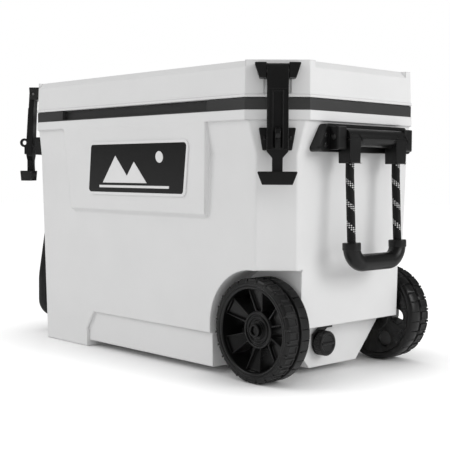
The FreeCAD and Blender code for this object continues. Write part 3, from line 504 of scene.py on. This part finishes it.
# %% Rounded copies
SIDES = ("right", "left")
ROUNDING = {
    "body_shell": 0.7, "body_liner": 0.8, "body_foam": 0.5, "rim_band": 0.6,
    "lid_shell": 0.06, "lid_liner": 0.6, "lid_foam": 0.5, "lid_gasket": 0.6,
    "badge_plate": 0.4, "badge_field": 0.1, "badge_mark": 0.12,
    "drain_spout": 0.4, "drain_seal": 0.4, "drain_tether": 0.5, "axle": 0.6, "axle_bushes": 0.4,
    "axle_washers": 0.3, "axle_push_nuts": 1.2, "tow_brackets": 1.5, "tow_pins": 0.6, "tow_frame": 0.5,
    "tow_grip": 0.8,
}
for side in SIDES:
    ROUNDING |= {
        f"latch_keeper_{side}": 1.0, f"latch_mount_{side}": 0.8, f"latch_pin_{side}": 0.4,
        f"latch_strap_{side}": 0.7, f"handle_{side}_bracket": 0.4, f"handle_{side}_rod": 0.5,
        f"handle_{side}_yoke": 0.4, f"handle_{side}_grip": 1.0, f"hinge_{side}_tub_leaf": 0.5,
        f"hinge_{side}_lid_leaf": 0.5, f"hinge_{side}_pin": 0.4,
    }


HANDLE_FACE, HANDLE_EDGE = 355, 15
LONG_EDGE, RIM_BOTTOM, TUB_END, UNDERSIDE = 35, 376, 330, 150
PANEL_FACE, PANEL_END, PANEL_MARGIN = 183, 186, 6


def tub_edges(middle, length):
    """The tub's long outer edges, clear of the rim, the underside and the raised panel."""
    under = abs(middle.y) < UNDERSIDE and middle.z < UNDERSIDE
    panel = middle.y < -PANEL_FACE or abs(abs(middle.x) - PANEL_END) < PANEL_MARGIN
    outer = middle.z < RIM_BOTTOM and abs(middle.x) < TUB_END
    return length > LONG_EDGE and outer and not under and not panel


def handle_edges(middle, length):
    """The outer edges of a handle's ears and sockets."""
    return length > HANDLE_EDGE and abs(middle.x) > HANDLE_FACE


OUTER_EDGES = {"body_shell": (2.6, tub_edges)}
for side in SIDES:
    OUTER_EDGES |= {f"handle_{side}_{part}": (3.2, handle_edges) for part in ("yoke", "bracket")}


def rounded_copy(node, width):
    """A copy of a node's mesh with rounded edges, which stands for the node."""
    source = frame["nodes"][node]
    body = source["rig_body"]
    piece = copy_of(source, f"{node}_moulded")
    for key in list(piece.keys()):
        del piece[key]
    bpy.ops.object.parent_clear(type="CLEAR_KEEP_TRANSFORM")
    bpy.ops.mesh.customdata_custom_splitnormals_clear()
    edit(piece)
    bpy.ops.mesh.remove_doubles(threshold=0.002 * MM)
    bpy.ops.mesh.dissolve_limited(angle_limit=math.radians(1.2))
    bpy.ops.mesh.quads_convert_to_tris()
    leave()
    if node in OUTER_EDGES:
        round_edges(piece, *OUTER_EDGES[node])
    soften(piece, width)
    return finish(piece, body, slots[node], node)


for node, width in ROUNDING.items():
    rounded_copy(node, width)

# %% [markdown]
# ## Wheels
# The outer side of the model faces -Y. The tyre has a row of pocketed blocks outside and a siped band
# inside; the core has a dished face, channel spokes and a ridged hub.

# %% Wheels
WHEEL_X, WHEEL_Y, WHEEL_Z = 262, 142, 76
BLOCKS, SIPES, SPOKES = 24, 30, 6
HOLE_ANGLE, SPOKE_ANGLE = -58, -28


def tyre_model():
    """A carcass with a siped band, a row of pocketed blocks and the bars between them."""
    carcass = lathe("tyre", [
        (-22, 65), (-23, 67), (-23, 68.4), (-22.2, 69.2), (-22.4, 71.6), (-20.4, 73.3), (-2.4, 73.9),
        (-1.9, 72.2), (1.9, 72.2), (2.3, 75.3), (3.2, 76), (17.5, 76), (21, 74.6), (22.8, 71.6), (23, 67),
        (22, 65)], steps=144)
    sipe = block("sipe", (-0.45, 4.5, 74), (0.45, 26, 79))
    carve(carcass, around(sipe, SIPES))
    lug = block("lug", (-6.6, -22.2, 72), (6.6, -3.2, 75.6))
    edit(lug, "FACE", lambda centre, normal: normal.z > 0.9)
    bpy.ops.mesh.inset(thickness=2.2 * MM)
    push(1.3, (0, 0, -1))
    leave()
    shift(lug, lambda point, normal: point.y < -21 and point.z > 75, 0, 1.6, -0.9)
    soften(lug, 0.5)
    around(lug, BLOCKS)
    bar = block("shoulder", (-1.5, -22.9, 69), (1.5, -18, 74.6))
    soften(bar, 0.5)
    bar.rotation_euler.y = math.radians(180 / BLOCKS)
    around(settle(bar), BLOCKS)
    soften(carcass, 0.4)
    return joined("tyre", carcass, lug, bar)


def core_model():
    """A dished core with a ridged hub, round holes and channel spokes."""
    core = lathe("core", [
        (23, 6.1), (23, 28), (22, 29), (22, 65), (-22, 65), (-22, 61.8), (-20.5, 60.2), (8, 58.6), (15, 56),
        (17, 52), (17, 34), (14, 30), (-6, 28), (-8.4, 27.2), (-9, 26), (-9, 23.6), (-6.8, 23), (-6.8, 20.6),
        (-9, 20), (-9, 17.8), (-6.8, 17.2), (-6.8, 14.4), (-9, 13.8), (-9, 6.1)])
    bpy.ops.object.select_all(action="DESELECT")
    bpy.ops.mesh.primitive_cylinder_add(vertices=32, radius=12 * MM, depth=20 * MM,
                                        location=(45 * MM, 19 * MM, 0), rotation=(math.radians(90), 0, 0))
    hole = added("hole")
    hole.rotation_euler.y = math.radians(HOLE_ANGLE)
    carve(core, around(settle(hole), SPOKES))
    soften(core, 0.7)
    spoke = block("spoke", (26, -16, -7), (61, 18, 7))
    edit(spoke, "FACE", lambda centre, normal: normal.y < -0.9)
    bpy.ops.mesh.inset(thickness=2.4 * MM)
    push(5, (0, 1, 0))
    leave()
    shift(spoke, lambda point, normal: point.x > 57 and point.z > 0, 0, 0, 8)
    shift(spoke, lambda point, normal: point.x > 57 and point.z < 0, 0, 0, -8)
    shift(spoke, lambda point, normal: point.x < 30 and point.y < -10, 0, 9, 0)
    soften(spoke, 0.9)
    spoke.rotation_euler.y = math.radians(SPOKE_ANGLE)
    around(settle(spoke), SPOKES)
    return joined("core", core, spoke)


for model, part, slot in ((tyre_model(), "tyre", "tyre_black"), (core_model(), "core", "wheel_black")):
    back = put(copy_of(model, f"wheel_back_{part}_detailed"), (WHEEL_X, WHEEL_Y, WHEEL_Z), mirror=1)
    front = put(model, (WHEEL_X, -WHEEL_Y, WHEEL_Z))
    front.name = f"wheel_front_{part}_detailed"
    finish(front, "wheel_front", slot, f"wheel_front_{part}")
    finish(back, "wheel_back", slot, f"wheel_back_{part}")

# %% [markdown]
# ## Rope carry handles
# Each handle's rope is two legs between the sockets and the grip, which also gets collars at its ends.

# %% Ropes and collars
ROPE_RADIUS, ROPE_TOP, ROPE_KNEE, ROPE_LOW = 6.25, 338, 298.5, 190
LEAN = 6 / 125.5
LEG_X, LEG_Y = 350, 54
COLLAR_X, COLLAR_Z, COLLAR_TILT = 354.7, 203, 2.7


def rope_leg(name):
    """A leg of rope: straight below its socket, then leaning out towards the grip."""
    bpy.ops.object.select_all(action="DESELECT")
    bpy.ops.mesh.primitive_cylinder_add(
        vertices=24, radius=ROPE_RADIUS * MM, depth=(ROPE_TOP - ROPE_LOW) * MM,
        location=(0, 0, (ROPE_TOP + ROPE_LOW) / 2 * MM), end_fill_type="NGON")
    leg = added(name)
    for level in range(ROPE_LOW + 4, ROPE_TOP, 4):
        edit(leg)
        bpy.ops.mesh.bisect(plane_co=(0, 0, level * MM), plane_no=(0, 0, 1))
        leave()
    for level in range(ROPE_LOW, int(ROPE_KNEE), 4):
        shift(leg, lambda point, normal: abs(point.z - level) < 1, (ROPE_KNEE - level) * LEAN, 0, 0)
    wrap_along(leg)
    alone(leg)
    bpy.ops.object.shade_smooth_by_angle(angle=math.radians(60))
    return leg


def wrap_along(leg):
    """A map of turns round the rope and metres along it, seamless where it is read."""
    layer = leg.data.uv_layers.new(name="Along")
    for face in leg.data.polygons:
        turns = []
        for index in face.loop_indices:
            point = leg.data.vertices[leg.data.loops[index].vertex_index].co
            out = max(0.0, ROPE_KNEE * MM - point.z) * LEAN
            turns.append(math.atan2(point.y, point.x - out) / math.tau % 1)
        for turn, index in zip(turns, face.loop_indices):
            point = leg.data.vertices[leg.data.loops[index].vertex_index].co
            layer.data[index].uv = (turn + (1 if max(turns) - turn > 0.5 else 0), point.z)


leg = rope_leg("rope_leg")
collar_outline = [(-11, 12.2), (-11, 12.9), (-10, 13.4), (-1.2, 13.4), (0, 12.8), (0, 12.2)]
collar = lathe("collar", collar_outline, "Z", 48)
soften(collar, 0.3)
for name, side in (("right", 1), ("left", -1)):
    legs, collars = [], []
    for way in (-1, 1):
        flip = 0 if side < 0 else None
        legs.append(put(copy_of(leg, "leg"), (side * LEG_X, way * LEG_Y, 0), mirror=flip))
        collars.append(put(copy_of(collar, "collar"), (side * COLLAR_X, way * LEG_Y, COLLAR_Z),
                           (0, side * -COLLAR_TILT, 0)))
    finish(joined(f"rope_{name}", *legs), f"handle_{name}", "rope", f"handle_{name}_rope")
    finish(joined(f"grip_collars_{name}", *collars), f"handle_{name}", "grip_black")
bpy.data.objects.remove(leg)
bpy.data.objects.remove(collar)

# %% [markdown]
# ## Raised rims on the latch straps
# A rim runs round the long slot and a second along the strap's edges, both on its sloping face.

# %% Strap rims
def rim(name, half_width, low, high, edge, height):
    """A flat frame, in the plane of the strap's face, standing out from it."""
    bpy.ops.object.select_all(action="DESELECT")
    bpy.ops.mesh.primitive_plane_add(size=1, location=(0, (low + high) / 2 * MM, 0))
    bpy.context.active_object.scale = (2 * half_width * MM, (high - low) * MM, 1)
    frame_piece = added(name)
    edit(frame_piece)
    bpy.ops.mesh.inset(thickness=edge * MM)
    bpy.ops.mesh.delete(type="FACE")
    bpy.ops.mesh.select_all(action="SELECT")
    push(height, (0, 0, 1))
    leave()
    return soften(tidy_mesh(frame_piece), 0.45)


HALF_LENGTH, HALF_WIDTH, HALF_CUT = 331, 183.5, 32.8
STRAP_FACE, STRAP_SLOPE = (0, -25, 375.6), 86.5
for name, side in (("right", 1), ("left", -1)):
    rims = [rim("slot_rim", 8.2, -40.5, 40.5, 2.2, 1.7), rim("edge_rim", 14.8, -42, 43, 1.6, 1.5)]
    piece = joined(f"strap_rims_{name}", *rims)
    put(piece, STRAP_FACE, (STRAP_SLOPE, 0, 0))
    put(piece, (side * (HALF_LENGTH - HALF_CUT), HALF_CUT - HALF_WIDTH, 0), (0, 0, side * 45))
    finish(piece, f"latch_{name}", "strap_rubber")

# %% [markdown]
# ## Screws and the drain cap

# %% Screws
def screw_model():
    """A domed head facing +X with a cross recess."""
    head = lathe("screw", [(0, 0), (0, 4), (0.9, 4), (1.7, 3.3), (2.2, 2.1), (2.4, 0)], "X", 32)
    tall = block("recess", (1.0, -0.6, -2.3), (4, 0.6, 2.3))
    wide = block("recess", (1.01, -2.3, -0.61), (4.01, 2.3, 0.61))
    carve(head, tall)
    carve(head, wide)
    return soften(head, 0.15)


BRACKET_X, BRACKET_SCREW_Y, BRACKET_SCREW_LEVELS = 339, 95, (356.5, 342.5)
HINGE_Y, HINGE_SCREWS_X, TUB_LEAF_Z, LID_LEAF_Z = 187.5, (-188, -152, 152, 188), 373.6, 440.1

screw = screw_model()
handle_heads = []
for side, turn in ((1, 0), (-1, 180)):
    for way in (1, -1):
        for level in BRACKET_SCREW_LEVELS:
            place = (side * BRACKET_X, way * BRACKET_SCREW_Y, level)
            handle_heads.append(put(copy_of(screw, "head"), place, (0, 0, turn)))
finish(joined("handle_screw_heads", *handle_heads), "tub", "screw_black", "handle_screws")
for body, level in (("tub", TUB_LEAF_Z), ("lid", LID_LEAF_Z)):
    heads = [put(copy_of(screw, "head"), (x, HINGE_Y, level), (0, 0, 90)) for x in HINGE_SCREWS_X]
    finish(joined(f"hinge_{body}_screw_heads", *heads), body, "screw_black", f"hinge_{body}_screws")
bpy.data.objects.remove(screw)

# %% Drain cap
CAP_PLACE, CAP_RIBS = (281.35, -33, 47), 30
cap_outline = [(0, 13.4), (0, 17.6), (0.8, 18.3), (12.4, 18.3), (14, 16.8), (14, 13.4), (12.8, 12.4),
               (12.8, 0), (10, 0), (10, 13.4)]
cap = lathe("cap", cap_outline, "X", 72)
soften(cap, 0.4)
rib = block("rib", (1.4, -0.9, 17.8), (12.2, 0.9, 18.9))
soften(rib, 0.3)
around(rib, CAP_RIBS, (1, 0, 0))
tab = block("tab", (11, -12.8, -2.6), (15, 12.8, 2.6))
edit(tab, "FACE", lambda centre, normal: abs(normal.y) > 0.9)
bpy.ops.transform.resize(value=(1, 1, 0.7), center_override=(13 * MM, 0, 0))
leave()
soften(tab, 0.8)
cap = put(joined("drain_cap_knurled", cap, rib, tab), CAP_PLACE)
finish(cap, "drain_cap", "black_plastic", "drain_cap")

# %% [markdown]
# ## Setting, light and camera

# %% Setting
FLOOR_GLOW, CONTACT_SHADE = 0.46, 2.2
SKY_DIFFUSE, SKY_GLOSSY = 0.68, 0.16

scene = bpy.context.scene
bpy.ops.object.select_all(action="DESELECT")
bpy.ops.mesh.primitive_plane_add(size=14, location=(0, 0, -0.0002))
floor = bpy.context.active_object
floor.name = "floor"
floor_paint = bpy.data.materials.new("Pale floor")
floor_paint.use_nodes = True
floor_tree = floor_paint.node_tree
floor_surface = floor_tree.nodes["Principled BSDF"]
floor_surface.inputs["Base Color"].default_value = rgb(0.93)
floor_surface.inputs["Roughness"].default_value = 0.6
floor_surface.inputs["Specular IOR Level"].default_value = 0.2
floor_surface.inputs["Emission Color"].default_value = rgb(1.0)
sight = add_node(floor_tree, "ShaderNodeLightPath")
open_sky = add_node(floor_tree, "ShaderNodeAmbientOcclusion", {"Distance": 0.16}, samples=8)
shade = add_node(floor_tree, "ShaderNodeMath", {0: open_sky.outputs["AO"], 1: CONTACT_SHADE},
                 operation="POWER")
lift = add_node(floor_tree, "ShaderNodeMath", {0: shade.outputs["Value"], 1: FLOOR_GLOW},
                operation="MULTIPLY")
lift_seen = add_node(floor_tree, "ShaderNodeMath",
                     {0: lift.outputs["Value"], 1: sight.outputs["Is Camera Ray"]}, operation="MULTIPLY")
floor_tree.links.new(lift_seen.outputs["Value"], floor_surface.inputs["Emission Strength"])
floor.data.materials.append(floor_paint)

world = bpy.data.worlds.new("Studio")
world.use_nodes = True
sky_tree = world.node_tree
backdrop = sky_tree.nodes["Background"]
backdrop.inputs["Color"].default_value = (1, 1, 1, 1)
seen = add_node(sky_tree, "ShaderNodeLightPath")
mirrored = add_node(sky_tree, "ShaderNodeMapRange", {
    "Value": seen.outputs["Is Glossy Ray"], "To Min": SKY_DIFFUSE, "To Max": SKY_GLOSSY})
glow = add_node(sky_tree, "ShaderNodeMath",
                {0: mirrored.outputs["Result"], 1: seen.outputs["Is Camera Ray"]}, operation="MAXIMUM")
sky_tree.links.new(glow.outputs["Value"], backdrop.inputs["Strength"])
scene.world = world


def area_light(name, place, target, size, power):
    """A square light that faces its target."""
    bpy.ops.object.light_add(type="AREA", location=place)
    lamp = bpy.context.active_object
    lamp.name = name
    lamp.data.size = size
    lamp.data.energy = power
    lamp.rotation_euler = (Vector(target) - Vector(place)).to_track_quat("-Z", "Y").to_euler()


area_light("Key", (-1.2, -2.2, 1.9), (0, 0, 0.25), 1.2, 15)
area_light("Side", (2.6, 0.8, 1.3), (0.2, 0, 0.25), 1.2, 24)
scene.view_settings.view_transform = "Standard"

CAMERA_PLACE, LENS, SENSOR = (1.23447, -1.13215, 0.30068), 77.28, 36
YAW, PITCH, ROLL = math.radians(46.70), math.radians(3.04), math.radians(0.33)
forward = Vector((-math.sin(YAW) * math.cos(PITCH), math.cos(YAW) * math.cos(PITCH), -math.sin(PITCH)))
level = Vector((math.cos(YAW), math.sin(YAW), 0))
upward = level.cross(forward)
right = level * math.cos(ROLL) + upward * math.sin(ROLL)
top = upward * math.cos(ROLL) - level * math.sin(ROLL)
bpy.ops.object.camera_add(location=CAMERA_PLACE)
camera = bpy.context.active_object
camera.rotation_euler = Matrix((right, top, -forward)).transposed().to_euler()
camera.data.lens = LENS
camera.data.sensor_width = SENSOR
scene.camera = camera
